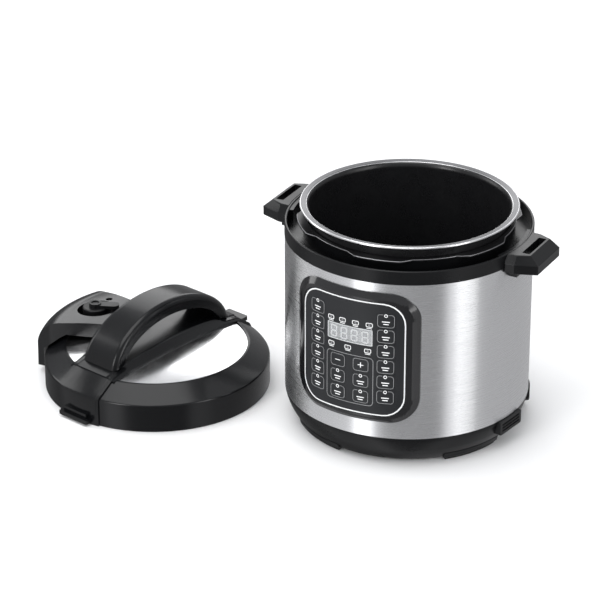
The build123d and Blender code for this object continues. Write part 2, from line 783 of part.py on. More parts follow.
def make_dome_plate():
    outside = dome_cap(0)
    inside = dome_cap(0.8)
    with BuildPart() as dome:
        add(outside)
        add(inside, mode=Mode.SUBTRACT)
        with BuildSketch(LID.offset(30)):
            with Locations(*LID_SCREWS):
                Circle(SCREW_R + 0.6)
        extrude(amount=40, mode=Mode.SUBTRACT)
        with BuildSketch(VALVE_SIDE.offset(30)):
            with Locations((0, VALVE_OUT), FLOAT_AT):
                Circle(6)
        extrude(amount=40, mode=Mode.SUBTRACT)
    write(dome, "dome_plate")


def make_inner_lid():
    wall = 1.8
    bend = 14.3
    flat_r = INNER_LID_R - bend
    skirt_top = INNER_LID_TOP - bend
    inner_r = INNER_LID_R - wall
    with BuildPart() as inner:
        with BuildSketch(LID_LONG):
            with BuildLine():
                Line((0, INNER_LID_TOP), (flat_r, INNER_LID_TOP))
                RadiusArc((flat_r, INNER_LID_TOP), (INNER_LID_R, skirt_top), bend)
                Polyline((INNER_LID_R, skirt_top), (INNER_LID_R, 5), (inner_r, 5), (inner_r, skirt_top))
                RadiusArc((inner_r, skirt_top), (flat_r, INNER_LID_TOP - wall), wall - bend)
                Polyline((flat_r, INNER_LID_TOP - wall), (0, INNER_LID_TOP - wall), (0, INNER_LID_TOP))
            make_face()
        revolve(axis=LID_AXIS)
        # six lugs that hook under the flange
        for i in range(LUG_COUNT):
            with BuildSketch(LID_LONG.rotated((0, 0, FIRST_LUG + 30 - 14 + i * 60 - LID_TURN))):
                with Locations((LID_LUG_R + 2, 8.8)):
                    Rectangle(4, 2.8)
            revolve(axis=LID_AXIS, revolution_arc=28)
        with BuildSketch(LID.offset(30)):
            with Locations(*LID_SCREWS):
                Circle(SCREW_R + GAP)
        extrude(amount=20, mode=Mode.SUBTRACT)
        with BuildSketch(VALVE_SIDE.offset(30)):
            with Locations((0, VALVE_OUT)):
                Circle(VENT_R + GAP)
            with Locations(FLOAT_AT):
                Circle(3.4)
        extrude(amount=20, mode=Mode.SUBTRACT)
    write(inner, "inner_lid")


def make_sealing_ring():
    with BuildPart() as ring:
        with BuildSketch(LID_LONG):
            with BuildLine():
                Polyline(
                    (108.2, 35.8), (110.6, 35.8), (118.0, 32.0), (121.8, 26.5), (121.8, 22.5),
                    (120.4, 22.5), (119.6, 26.0), (116.6, 29.8), (111.2, 31.6), (109.4, 29.0),
                    (108.2, 29.4), close=True,
                )
            make_face()
        revolve(axis=LID_AXIS)
    write(ring, "sealing_ring")


def make_ring_rack():
    with BuildPart() as rack:
        with BuildSketch(LID_LONG):
            with Locations((106, 32.4)):
                Circle(1.6)
        revolve(axis=LID_AXIS)
        with BuildSketch(LID.offset(32.4)):
            with PolarLocations(106, 6):
                Circle(1.4)
        extrude(amount=INNER_LID_TOP - 1.8 - GAP - 32.4)
    write(rack, "ring_rack")


def deck_block(half_width):
    """Everything under the curved top of the strip, for cutting what stands on it."""
    with BuildPart() as block:
        with BuildSketch(LID_LONG):
            with Locations((0, DOME_TOP - DOME_SPHERE)):
                Circle(DOME_SPHERE + DECK_TOP - DOME_TOP + GAP)
        extrude(amount=half_width, both=True)
    return block.part


def end_bracket():
    """Bracket that follows the lid's shoulder and skirt at the handle's end."""
    with BuildPart() as bracket:
        with BuildSketch(LID_LONG.rotated((0, 0, -20))):
            with BuildLine():
                Polyline(
                    (84, 51), (84, 54.5), (104, 50.8), (107.8, 49.4), (128.4, 34.6), (130.3, 31),
                    (130.3, 0), (120, 0), (103, 48.4), close=True,
                )
            make_face()
        revolve(axis=LID_AXIS, revolution_arc=40)
        with BuildSketch(LID):
            Rectangle(300, 2 * BRACKET_HALF)
        extrude(amount=60, mode=Mode.INTERSECT)
    return bracket.part


def make_handle_base():
    """Strip under the handle, with the end brackets that grip the lid's edge."""
    bracket = end_bracket()
    edge_z = dome_height(DECK_HALF)
    hinge = Axis(LID.from_local_coords((0, 0, DOME_TOP - DOME_SPHERE)), LID.y_dir)
    ridge_pitch = 3.4
    with BuildPart() as base:
        # ridged strip that follows the dome's curve
        with BuildSketch(LID_CROSS):
            right = [(DECK_HALF, edge_z + GAP), (DECK_HALF, edge_z + 1.4)]
            for k in range(4):
                y = DECK_HALF - 1.4 - ridge_pitch * k
                z = edge_z + 2.2 + 0.8 * k
                right += [(y, z), (y - 1.4, z + 0.9), (y - 2.5, z + 0.1)]
            right += [(23.0, DECK_TOP - 0.6), (22.2, DECK_TOP)]
            with BuildLine():
                Polyline(*right, *[(-y, z) for y, z in reversed(right)])
                ThreePointArc((-DECK_HALF, edge_z + GAP), (0, DOME_TOP + GAP), (DECK_HALF, edge_z + GAP))
            make_face()
        revolve(axis=hinge, revolution_arc=11.6)
        # the strip is widest in the middle
        with BuildSketch(LID):
            with BuildLine():
                Line((-1, -DECK_HALF), (-1, DECK_HALF))
                ThreePointArc((-1, DECK_HALF), (60, DECK_HALF - 2), (120, DECK_END_HALF))
                Line((120, DECK_END_HALF), (120, -DECK_END_HALF))
                ThreePointArc((120, -DECK_END_HALF), (60, 2 - DECK_HALF), (-1, -DECK_HALF))
            make_face()
        extrude(amount=80, mode=Mode.INTERSECT)
        # end bracket over the shoulder and down the skirt, with its fin
        add(bracket)
        with BuildSketch(LID.offset(FIN_Z)):
            with Locations((133, 0)):
                Rectangle(2 * (FIN_OUT - 133), FIN_WIDTH)
        extrude(amount=FIN_T)
        with BuildSketch(LID):
            with Locations((131.4, 0)):
                Rectangle(5, 34)
        extrude(amount=13)
        mirror(about=LID_CROSS)
        # flat tab at the far end
        with BuildSketch(LID.offset(30)):
            with Locations((132, 0)):
                RectangleRounded(11, 30, 2)
        extrude(amount=5)
        with BuildSketch(LID_LONG):
            with BuildLine():
                Polyline(*shoulder_outline(GAP), (LID_LIP_R - GAP, -1), close=True)
            make_face()
        revolve(axis=LID_AXIS, mode=Mode.SUBTRACT)
        with BuildSketch(LID.offset(30)):
            with Locations(*LID_SCREWS):
                Circle(SCREW_R + GAP)
        extrude(amount=26.4, mode=Mode.SUBTRACT)
    write(base, "handle_base")


def arch_plan(grow):
    """Plan of the arched handle, narrowest in the middle."""
    end = ARCH_HALF_SPAN + 4
    foot = ARCH_FOOT_WIDTH / 2 + grow
    middle = ARCH_WIDTH / 2 + grow
    with BuildSketch(Plane.XY) as plan:
        with BuildLine():
            ThreePointArc((-end, foot), (0, middle), (end, foot))
            Line((end, foot), (end, -foot))
            ThreePointArc((end, -foot), (0, -middle), (-end, -foot))
            Line((-end, -foot), (-end, foot))
        make_face()
    return plan.sketch


def make_handle_cover():
    skin = 3.5
    deck = deck_block(60)
    plan = arch_plan(0)
    with BuildPart() as arch:
        with BuildSketch(LID_LONG):
            with Locations((0, ARCH_BASE)):
                Ellipse(ARCH_HALF_SPAN, ARCH_TOP - ARCH_BASE)
        extrude(amount=ARCH_FOOT_WIDTH, both=True)
        with BuildSketch(LID.offset(ARCH_BASE - 70)):
            add(plan)
        extrude(amount=140, mode=Mode.INTERSECT)
        fillet(arch.edges(), 7)
        with BuildSketch(LID_LONG):
            with Locations((0, ARCH_BASE)):
                Ellipse(ARCH_HALF_SPAN - 15, ARCH_TOP - ARCH_BASE - 17)
        extrude(amount=ARCH_WIDTH, both=True, mode=Mode.SUBTRACT)
        with BuildSketch(LID_LONG):
            with Locations((0, ARCH_BASE)):
                Ellipse(ARCH_HALF_SPAN - skin, ARCH_TOP - ARCH_BASE - skin)
        extrude(amount=ARCH_WIDTH / 2 - skin, both=True, mode=Mode.SUBTRACT)
        add(deck, mode=Mode.SUBTRACT)
    write(arch, "handle_cover")


def make_handle_liner():
    deck = deck_block(60)
    with BuildPart() as liner:
        with BuildSketch(LID_LONG):
            with Locations((0, ARCH_BASE)):
                Ellipse(ARCH_HALF_SPAN - 11.5, ARCH_TOP - ARCH_BASE - 13.5)
                Ellipse(ARCH_HALF_SPAN - 15, ARCH_TOP - ARCH_BASE - 17, mode=Mode.SUBTRACT)
        extrude(amount=ARCH_WIDTH / 2 - 3.5 - GAP, both=True)
        add(deck, mode=Mode.SUBTRACT)
    write(liner, "handle_liner")


def valve_plan(inset):
    """Plan of the valve housing, in its own frame, drawn inwards by an inset."""
    half_widths = [(10, 30), (40, 31), (84, 44), (112, 50), (150, 50)]
    right = [(half - inset, y) for y, half in half_widths]
    left = [(inset - half, y) for y, half in reversed(half_widths)]
    with BuildSketch(Plane.XY) as outline:
        Polygon(*right, *left, align=None)
    return outline.sketch


def make_valve_housing():
    skin = 3.0
    outside = valve_plan(0)
    inside = valve_plan(skin)
    deck = deck_block(DECK_HALF + 0.5)
    arch_room = arch_plan(GAP)
    with BuildPart() as block:
        with BuildSketch(VALVE_CROSS):
            with BuildLine():
                ThreePointArc((16, 69.5), (64, 73), (108, 69))
                ThreePointArc((108, 69), (130, 59), (139, 40))
                Polyline((139, 40), (139.3, 10), (131.5, 10), (131.5, 33), (112, 49.5), (104, 55),
                         (16, 56), (16, 69.5))
            make_face()
        revolve(axis=LID_AXIS, revolution_arc=40)
        mirror(about=VALVE_CROSS)
        with BuildSketch(VALVE_SIDE):
            add(outside)
        extrude(amount=90, mode=Mode.INTERSECT)
    with BuildPart() as cavity:
        with BuildSketch(VALVE_CROSS):
            with BuildLine():
                ThreePointArc((10, 66.3), (64, 70), (106, 66.2))
                ThreePointArc((106, 66.2), (127.6, 56.6), (136, 39.5))
                Polyline((136, 39.5), (136.2, 5), (120, 5), (100, 40), (10, 40), (10, 66.3))
            make_face()
        revolve(axis=LID_AXIS, revolution_arc=40)
        mirror(about=VALVE_CROSS)
        with BuildSketch(VALVE_SIDE):
            add(inside)
        extrude(amount=90, mode=Mode.INTERSECT)
    with BuildPart() as boss:
        add(block.part)
        with BuildSketch(VALVE_SIDE.offset(56.5)):
            with Locations((-1, VALVE_OUT - 2)):
                Circle(VALVE_WELL_R + 2.5)
            with Locations(FLOAT_AT):
                Circle(7)
        extrude(amount=30, mode=Mode.INTERSECT)
    with BuildPart() as housing:
        add(block.part)
        add(cavity.part, mode=Mode.SUBTRACT)
        add(boss.part)
        with BuildSketch(VALVE_SIDE.offset(VALVE_WELL_FLOOR)):
            with Locations((-1, VALVE_OUT - 2)):
                Circle(VALVE_WELL_R)
        extrude(amount=30, mode=Mode.SUBTRACT)
        with BuildSketch(VALVE_SIDE.offset(50)):
            with Locations((0, VALVE_OUT)):
                Circle(VENT_R + GAP)
            with Locations(FLOAT_AT):
                Circle(4)
        extrude(amount=40, mode=Mode.SUBTRACT)
        # room for the handle and for the strip under it
        with BuildSketch(LID.offset(40)):
            add(arch_room)
        extrude(amount=60, mode=Mode.SUBTRACT)
        add(deck, mode=Mode.SUBTRACT)
    write(housing, "valve_housing")


def make_steam_valve():
    bottom = VALVE_WELL_FLOOR + 0.6
    with BuildPart() as knob:
        with BuildSketch(VALVE_SIDE.offset(bottom)):
            with Locations((0, VALVE_OUT)):
                Circle(14.5)
        extrude(amount=14)
        fillet(knob.edges().group_by(Axis.Z)[-1], 1.5)
        # lever, pointing back towards the handle
        lever = VALVE_SIDE.offset(bottom + 13.2)
        with BuildSketch(lever):
            with Locations((4, VALVE_OUT - 10)):
                SlotOverall(34, 12, rotation=-68)
        extrude(amount=4)
        with BuildSketch(lever):
            with Locations((0, VALVE_OUT)):
                Circle(7)
                Circle(4.6, mode=Mode.SUBTRACT)
        extrude(amount=5.2)
        with BuildSketch(VALVE_SIDE.offset(bottom - 1)):
            with Locations((0, VALVE_OUT)):
                Circle(VENT_R + 0.08)
        extrude(amount=8, mode=Mode.SUBTRACT)
    write(knob, "steam_valve")


def make_vent_pipe():
    under = INNER_LID_TOP - 1.8
    with BuildPart() as pipe:
        with BuildSketch(VALVE_SIDE.offset(under - 3)):
            with Locations((0, VALVE_OUT)):
                Circle(7)
        extrude(amount=3 - GAP)
        with BuildSketch(VALVE_SIDE.offset(under - 3)):
            with Locations((0, VALVE_OUT)):
                Circle(VENT_R)
        extrude(amount=66 - under + 3)
        with BuildSketch(VALVE_SIDE.offset(under - 4)):
            with Locations((0, VALVE_OUT)):
                Circle(2)
        extrude(amount=40, mode=Mode.SUBTRACT)
    write(pipe, "vent_pipe")


def make_anti_block_shield():
    under = INNER_LID_TOP - 1.8
    with BuildPart() as shield:
        with BuildSketch(VALVE_SIDE.offset(under - 10)):
            with Locations((0, VALVE_OUT)):
                Circle(9)
        extrude(amount=10 - GAP)
        fillet(shield.edges().group_by(Axis.Z)[0], 2)
        with BuildSketch(VALVE_SIDE.offset(under - 9)):
            with Locations((0, VALVE_OUT)):
                Circle(7 + GAP)
        extrude(amount=10, mode=Mode.SUBTRACT)
        with BuildSketch(VALVE_SIDE.offset(under - 11)):
            with Locations((0, VALVE_OUT)):
                with PolarLocations(7, 8):
                    Rectangle(6, 1.6)
        extrude(amount=6, mode=Mode.SUBTRACT)
    write(shield, "anti_block_shield")


def make_float_valve():
    with BuildPart() as pin:
        with BuildSketch(VALVE_SIDE.offset(FLOAT_BOTTOM)):
            with Locations(FLOAT_AT):
                Circle(FLOAT_R)
        extrude(amount=40)
        with BuildSketch(VALVE_SIDE.offset(60)):
            with Locations(FLOAT_AT):
                Circle(3.6)
        extrude(amount=8.5)
        with BuildSketch(VALVE_SIDE.offset(FLOAT_BOTTOM)):
            with Locations(FLOAT_AT):
                Circle(3.2)
        extrude(amount=1.2)
    write(pin, "float_valve")


def make_float_seal():
    with BuildPart() as seal:
        with BuildSketch(VALVE_SIDE.offset(FLOAT_BOTTOM + 1.2 + GAP)):
            with Locations(FLOAT_AT):
                Circle(5)
                Circle(FLOAT_R + GAP, mode=Mode.SUBTRACT)
        extrude(amount=2.4)
    write(seal, "float_seal")


def make_lid_screws():
    under = INNER_LID_TOP - 1.8 - GAP
    with BuildPart() as screws:
        with BuildSketch(LID.offset(under)):
            with Locations(*LID_SCREWS):
                Circle(2.8)
        extrude(amount=-1.8)
        with BuildSketch(LID.offset(under)):
            with Locations(*LID_SCREWS):
                Circle(SCREW_R)
        extrude(amount=20)
    write(screws, "lid_screws")


# ------------------------------------------------------------------- assembly
make_base_housing()
make_bottom_cover()
make_feet()
make_steel_shell()
make_collar()
make_side_handle("left_handle", -1)
make_side_handle("right_handle", 1)
make_housing_screws()
make_outer_pot()
make_inner_pot()
make_heating_plate()
make_heating_element()
make_temperature_sensor()
make_sensor_bracket()
make_sensor_spring()
make_thermal_fuse()
make_power_board()
make_power_inlet()
make_inlet_pins()
make_cup_bracket()
make_condensation_cup()
make_control_bezel()
make_control_overlay()
make_display_lens()
make_indicator_lamps()
make_display_module()
make_control_board()
for key_name, key_angle, key_height, key_size in key_sites():
    make_key(key_name, key_angle, key_height, key_size)
make_lid_cover()
make_dome_plate()
make_inner_lid()
make_sealing_ring()
make_ring_rack()
make_handle_base()
make_handle_cover()
make_handle_liner()
make_valve_housing()
make_steam_valve()
make_vent_pipe()
make_anti_block_shield()
make_float_valve()
make_float_seal()
make_lid_screws()
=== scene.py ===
import json
from math import atan2, ceil, cos, hypot, pi, radians, sin, sqrt

import bmesh
import bpy
from mathutils import Matrix, Vector

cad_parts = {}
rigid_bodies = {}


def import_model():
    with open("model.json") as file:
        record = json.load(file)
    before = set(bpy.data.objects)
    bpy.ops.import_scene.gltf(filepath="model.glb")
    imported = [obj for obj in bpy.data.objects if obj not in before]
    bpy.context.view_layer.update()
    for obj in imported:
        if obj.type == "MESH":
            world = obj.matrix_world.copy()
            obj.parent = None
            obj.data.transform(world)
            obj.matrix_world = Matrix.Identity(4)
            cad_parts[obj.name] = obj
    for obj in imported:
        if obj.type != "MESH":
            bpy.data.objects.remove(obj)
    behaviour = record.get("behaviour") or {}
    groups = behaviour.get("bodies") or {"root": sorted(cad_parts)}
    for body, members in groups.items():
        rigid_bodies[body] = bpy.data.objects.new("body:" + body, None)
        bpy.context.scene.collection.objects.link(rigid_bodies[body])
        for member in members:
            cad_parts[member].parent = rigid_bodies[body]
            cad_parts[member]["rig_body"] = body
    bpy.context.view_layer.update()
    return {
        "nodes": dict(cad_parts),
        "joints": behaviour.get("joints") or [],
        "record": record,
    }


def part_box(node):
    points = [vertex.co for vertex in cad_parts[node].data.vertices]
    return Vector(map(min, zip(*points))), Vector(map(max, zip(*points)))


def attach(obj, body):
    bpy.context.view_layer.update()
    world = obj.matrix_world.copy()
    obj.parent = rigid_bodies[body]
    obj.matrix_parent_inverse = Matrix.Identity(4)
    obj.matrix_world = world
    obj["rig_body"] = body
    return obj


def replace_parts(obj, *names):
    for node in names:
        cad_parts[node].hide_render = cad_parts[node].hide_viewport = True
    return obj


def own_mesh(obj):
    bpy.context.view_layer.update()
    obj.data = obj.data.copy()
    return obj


# Electric pressure cooker standing open, with its lid beside it. Metres, +Z up.
# The CAD nodes give the shapes and sizes. This script gives them their finishes, rounds the edges
# of the moulded parts, models the pot's rim and the fine trim, prints the panel and lights the scene.

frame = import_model()
nodes = frame["nodes"]
joints = {joint["name"]: joint for joint in frame["joints"]}
SLOTS = {part["node"]: part["material_slot"] for part in frame["record"]["subparts"]}
MM = 0.001
UP = Vector((0, 0, 1))
LID_CENTRE = Vector(joints["lid_turn"]["pos_m"])


# ---------------------------------------------------------------- node helpers
def add_node(mat, kind, **settings):
    """New shader node. A setting whose name starts with in_ is the value of an input."""
    made = mat.node_tree.nodes.new("ShaderNode" + kind)
    for name, value in settings.items():
        if name.startswith("in_"):
            made.inputs[name[3:].replace("_", " ")].default_value = value
        else:
            setattr(made, name, value)
    return made


def link(mat, output, socket):
    mat.node_tree.links.new(output, socket)


def new_material(name, colour, metallic=0.0, roughness=0.5, **sockets):
    mat = bpy.data.materials.new(name)
    mat.use_nodes = True
    mat.diffuse_color = (*colour, 1)
    shader = shader_of(mat)
    shader.inputs["Base Color"].default_value = (*colour, 1)
    shader.inputs["Metallic"].default_value = metallic
    shader.inputs["Roughness"].default_value = roughness
    for socket, value in sockets.items():
        shader.inputs[socket.replace("_", " ")].default_value = value
    return mat


def shader_of(mat):
    return mat.node_tree.nodes["Principled BSDF"]


def object_place(mat):
    return add_node(mat, "TexCoord").outputs["Object"]


def round_place(mat, centre, turn_scale, out_scale, up_scale):
    """Coordinates round a vertical axis: along the turn, outwards and upwards."""
    shifted = add_node(mat, "VectorMath", operation="SUBTRACT")
    link(mat, object_place(mat), shifted.inputs[0])
    shifted.inputs[1].default_value = centre
    split = add_node(mat, "SeparateXYZ")
    link(mat, shifted.outputs[0], split.inputs[0])
    turn = add_node(mat, "Math", operation="ARCTAN2")
    link(mat, split.outputs["Y"], turn.inputs[0])
    link(mat, split.outputs["X"], turn.inputs[1])
    flat = add_node(mat, "CombineXYZ")
    link(mat, split.outputs["X"], flat.inputs["X"])
    link(mat, split.outputs["Y"], flat.inputs["Y"])
    out = add_node(mat, "VectorMath", operation="LENGTH")
    link(mat, flat.outputs[0], out.inputs[0])
    joined = add_node(mat, "CombineXYZ")
    for value, scale, axis in (
        (turn.outputs[0], turn_scale, "X"),
        (out.outputs["Value"], out_scale, "Y"),
        (split.outputs["Z"], up_scale, "Z"),
    ):
        scaled = add_node(mat, "Math", operation="MULTIPLY")
        link(mat, value, scaled.inputs[0])
        scaled.inputs[1].default_value = scale
        link(mat, scaled.outputs[0], joined.inputs[axis])
    return joined.outputs[0]


def noise(mat, scale, detail=3.0, place=None):
    made = add_node(mat, "TexNoise", in_Scale=scale, in_Detail=detail)
    link(mat, place or object_place(mat), made.inputs["Vector"])
    return made.outputs["Fac"]


# the middle stretch of a noise, which holds most of its values
NOISE_LOW, NOISE_HIGH = 0.3, 0.7


def vary_colour(mat, fac, dark, light):
    ramp = add_node(mat, "ValToRGB")
    for stop, position, colour in zip(ramp.color_ramp.elements, (NOISE_LOW, NOISE_HIGH), (dark, light)):
        stop.position = position
        stop.color = (*colour, 1)
    link(mat, fac, ramp.inputs["Fac"])
    link(mat, ramp.outputs["Color"], shader_of(mat).inputs["Base Color"])


def vary_roughness(mat, fac, low, high):
    spread = add_node(
        mat, "MapRange", in_From_Min=NOISE_LOW, in_From_Max=NOISE_HIGH, in_To_Min=low, in_To_Max=high
    )
    link(mat, fac, spread.inputs["Value"])
    link(mat, spread.outputs["Result"], shader_of(mat).inputs["Roughness"])


def emboss(mat, fac, strength, distance):
    bump = add_node(mat, "Bump", in_Strength=strength, in_Distance=distance)
    link(mat, fac, bump.inputs["Height"])
    link(mat, bump.outputs["Normal"], shader_of(mat).inputs["Normal"])


# ------------------------------------------------------------------- materials
def moulded_plastic(name, dark, light, low=0.34, high=0.46, texture=0.12, shine=0.3):
    """Satin plastic with a fine spark-eroded texture and faint handling marks."""
    mat = new_material(name, light, Specular_IOR_Level=shine)
    vary_colour(mat, noise(mat, 9), dark, light)
    vary_roughness(mat, noise(mat, 26, 5), low, high)
    emboss(mat, noise(mat, 2600, 2), texture, 0.05 * MM)
    return mat


def brushed_steel(name, colour, roughness, centre=(0, 0, 0)):
    """Steel brushed round its axis, so highlights spread upwards."""
    mat = new_material(name, colour, 1.0, roughness, Anisotropic=1.0, Anisotropic_Rotation=0.25)
    tangent = add_node(mat, "Tangent", direction_type="RADIAL", axis="Z")
    link(mat, tangent.outputs[0], shader_of(mat).inputs["Tangent"])
    strokes = noise(mat, 1.0, 3, round_place(mat, centre, turn_scale=5, out_scale=900, up_scale=3600))
    dark = tuple(c * 0.97 for c in colour)
    light = tuple(min(1, c * 1.03) for c in colour)
    vary_colour(mat, strokes, dark, light)
    vary_roughness(mat, strokes, roughness - 0.04, roughness + 0.04)
    emboss(mat, strokes, 0.03, 0.01 * MM)
    return mat


def polished_steel(name):
    """Steel polished to a soft mirror, with faint ripples and wiping marks."""
    mat = new_material(name, (0.86, 0.86, 0.865), 1.0, 0.2)
    vary_colour(mat, noise(mat, 14, 4), (0.83, 0.83, 0.835), (0.87, 0.87, 0.875))
    vary_roughness(mat, noise(mat, 40, 6), 0.16, 0.24)
    emboss(mat, noise(mat, 60, 2), 0.02, 0.2 * MM)
    return mat


def coating(name, dark, light, low, high):
    """Baked non-stick coating with a faint orange-peel surface."""
    mat = new_material(name, dark, Specular_IOR_Level=0.35)
    vary_colour(mat, noise(mat, 900, 2), dark, light)
    vary_roughness(mat, noise(mat, 60, 4), low, high)
    emboss(mat, noise(mat, 700, 2), 0.15, 0.08 * MM)
    return mat


def cast_metal(name, colour, roughness):
    mat = new_material(name, colour, 1.0, roughness)
    vary_colour(mat, noise(mat, 120, 5), tuple(c * 0.85 for c in colour), colour)
    vary_roughness(mat, noise(mat, 300, 4), roughness - 0.08, roughness + 0.1)
    emboss(mat, noise(mat, 900, 3), 0.3, 0.1 * MM)
    return mat


def rubber(name, dark, light, **sockets):
    mat = new_material(name, light, **sockets)
    vary_colour(mat, noise(mat, 60, 4), dark, light)
    vary_roughness(mat, noise(mat, 200, 4), 0.5, 0.7)
    emboss(mat, noise(mat, 1500, 2), 0.15, 0.06 * MM)
    return mat


def clear_plastic(name, colour):
    mat = new_material(name, colour, 0.0, 0.12, Transmission_Weight=0.75, IOR=1.49)
    vary_roughness(mat, noise(mat, 70, 4), 0.08, 0.2)
    emboss(mat, noise(mat, 300, 2), 0.05, 0.1 * MM)
    return mat


def board(name):
    """Green circuit board under a glossy lacquer."""
    mat = new_material(name, (0.02, 0.14, 0.05), Coat_Weight=0.4)
    vary_colour(mat, noise(mat, 240, 6), (0.012, 0.09, 0.035), (0.03, 0.2, 0.08))
    vary_roughness(mat, noise(mat, 400, 3), 0.3, 0.5)
    emboss(mat, noise(mat, 500, 5), 0.4, 0.2 * MM)
    return mat


def ink(name, dark, light):
    """Screen-printed ink."""
    mat = new_material(name, light)
    vary_colour(mat, noise(mat, 700, 3), dark, light)
    vary_roughness(mat, noise(mat, 900, 2), 0.45, 0.6)
    return mat


BLACK = moulded_plastic(
    "black_plastic", (0.0028, 0.003, 0.0034), (0.005, 0.0053, 0.006),
    low=0.24, high=0.34, texture=0.1, shine=0.26,
)
LID_BLACK = moulded_plastic(
    "lid_plastic", (0.0028, 0.003, 0.0035), (0.0045, 0.0048, 0.0056),
    low=0.17, high=0.25, texture=0.08,
)
GLOSS = moulded_plastic(
    "gloss_plastic", (0.005, 0.005, 0.0056), (0.008, 0.008, 0.009),
    low=0.09, high=0.15, texture=0.02, shine=0.6,
)
VALVE = moulded_plastic("valve_plastic", (0.003, 0.003, 0.0034), (0.005, 0.005, 0.0056), low=0.35, high=0.5)
FILM = moulded_plastic(
    "panel_film", (0.0125, 0.0135, 0.0155), (0.0165, 0.0175, 0.0195),
    high=0.44, texture=0.04,
)
SHELL = brushed_steel("shell_steel", (0.78, 0.785, 0.795), 0.28)
INNER = brushed_steel("inner_steel", (0.62, 0.62, 0.62), 0.34, LID_CENTRE)
# grey metal band on the pot rim's coated top: painted light
RIM_SHEEN = brushed_steel("rim_painted_sheen", (0.13, 0.13, 0.135), 0.3)
# bright metal on the pot rim's rolled outer edge and inner edge: painted highlights
RIM_HIGHLIGHT = brushed_steel("painted_rim_highlight", (0.82, 0.82, 0.83), 0.3)
# light metal strip that paints the highlight along the bayonet flange's upper edge
FLANGE_HIGHLIGHT = cast_metal("painted_flange_highlight", (0.3, 0.3, 0.31), 0.35)
MIRROR = polished_steel("mirror_steel")
NONSTICK = coating("nonstick", (0.005, 0.005, 0.0055), (0.012, 0.012, 0.013), 0.24, 0.36)
WELL = coating("coated_steel", (0.005, 0.005, 0.0055), (0.009, 0.009, 0.01), 0.25, 0.4)
CAST = cast_metal("cast_aluminium", (0.62, 0.62, 0.63), 0.42)
HOT = cast_metal("element_steel", (0.36, 0.33, 0.3), 0.45)
SCREW = cast_metal("screw_steel", (0.55, 0.55, 0.56), 0.3)
BRASS = cast_metal("contact_brass", (0.72, 0.55, 0.28), 0.25)
RUBBER = rubber("foot_rubber", (0.006, 0.006, 0.006), (0.01, 0.01, 0.01), Specular_IOR_Level=0.3)
SILICONE = rubber("silicone", (0.6, 0.61, 0.6), (0.7, 0.71, 0.7), Subsurface_Weight=0.2)
CLEAR = clear_plastic("clear_plastic", (0.85, 0.87, 0.88))
WINDOW = clear_plastic("display_window", (0.92, 0.94, 0.95))
BOARD = board("circuit_board")
PARTS = moulded_plastic("board_parts", (0.5, 0.5, 0.47), (0.62, 0.62, 0.58))
DISPLAY = ink("display_face", (0.3, 0.305, 0.31), (0.38, 0.385, 0.39))
SEGMENT = ink("display_segment", (0.52, 0.53, 0.54), (0.6, 0.61, 0.62))
WHITE_INK = ink("white_ink", (0.9, 0.91, 0.91), (0.95, 0.96, 0.96))
LAMP = ink("lamp_lens", (0.16, 0.16, 0.165), (0.22, 0.22, 0.225))
GREY_INK = ink("grey_ink", (0.26, 0.265, 0.27), (0.34, 0.345, 0.35))

# the material of each of the record's slots
FINISHES = {
    "black_plastic": BLACK, "foot_rubber": RUBBER, "shell_steel": SHELL, "screw_steel": SCREW,
    "coated_steel": WELL, "nonstick_pot": NONSTICK, "cast_aluminium": CAST, "element_steel": HOT,
    "board_parts": PARTS, "circuit_board": BOARD, "contact_brass": BRASS, "clear_plastic": CLEAR,
    "gloss_black": GLOSS, "panel_film": FILM, "display_window": WINDOW, "lamp_white": LAMP,
    "display_body": DISPLAY, "mirror_steel": MIRROR, "inner_steel": INNER, "silicone": SILICONE,
    "valve_plastic": VALVE,
}


def dress_nodes():
    """Gives every CAD node the material of its slot."""
    for name, node in nodes.items():
        node.data.materials.clear()
        node.data.materials.append(FINISHES[SLOTS[name]])


# ---------------------------------------------------------------- mesh helpers
def body_of(node):
    return nodes[node]["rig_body"]


def add_piece(name, mesh, node, *materials, body=None):
    """Adds a mesh with the given materials, on a CAD node's body unless another body is given."""
    piece = bpy.data.objects.new(name, mesh)
    bpy.context.scene.collection.objects.link(piece)
    for mat in materials:
        mesh.materials.append(mat)
    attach(piece, body or body_of(node))
    return piece


def smooth(mesh, sharp):
    """Smooth shading, with a crease where faces turn by more than the sharp angle, in degrees."""
    for face in mesh.polygons:
        face.use_smooth = True
    mesh.set_sharp_from_angle(angle=radians(sharp))


def new_mesh(name, verts, faces, sharp):
    mesh = bpy.data.meshes.new(name)
    mesh.from_pydata(verts, [], faces)
    smooth(mesh, sharp)
    return mesh


def grid_faces(rows, count):
    """Faces between closed rows of points that follow each other."""
    faces = []
    for row in range(rows - 1):
        this, following = row * count, (row + 1) * count
        for k in range(count):
            j = (k + 1) % count
            faces.append((this + k, this + j, following + j, following + k))
    return faces


def turned(name, rings, steps, sharp, edge=None):
    """Surface turned round Z from rings of (radius, height, material index), in millimetres.

    With an edge, each radius is counted from edge(angle in degrees).
    """
    verts = []
    for radius, height, _ in rings:
        for i in range(steps):
            angle = 360 * i / steps
            out = radius + (edge(angle) if edge else 0)
            verts.append((out * MM * cos(radians(angle)), out * MM * sin(radians(angle)), height * MM))
    mesh = new_mesh(name, verts, grid_faces(len(rings), steps), sharp)
    for number, face in enumerate(mesh.polygons):
        face.material_index = rings[number // steps][2]
    return mesh


def tube(name, rows, sharp):
    """Closed solid through rows of points, with flat ends."""
    count = len(rows[0])
    last = (len(rows) - 1) * count
    faces = grid_faces(len(rows), count)
    faces += [tuple(range(count)), tuple(range(last, last + count))]
    mesh = new_mesh(name, [point for row in rows for point in row], faces, sharp)
    work = bmesh.new()
    work.from_mesh(mesh)
    bmesh.ops.recalc_face_normals(work, faces=work.faces)
    work.to_mesh(mesh)
    work.free()
    return mesh


def thickened(piece, depth):
    """Gives a printed layer or a painted highlight strip its thickness, inwards from its face."""
    layer = piece.modifiers.new("layer", "SOLIDIFY")
    layer.thickness = depth
    layer.offset = -1


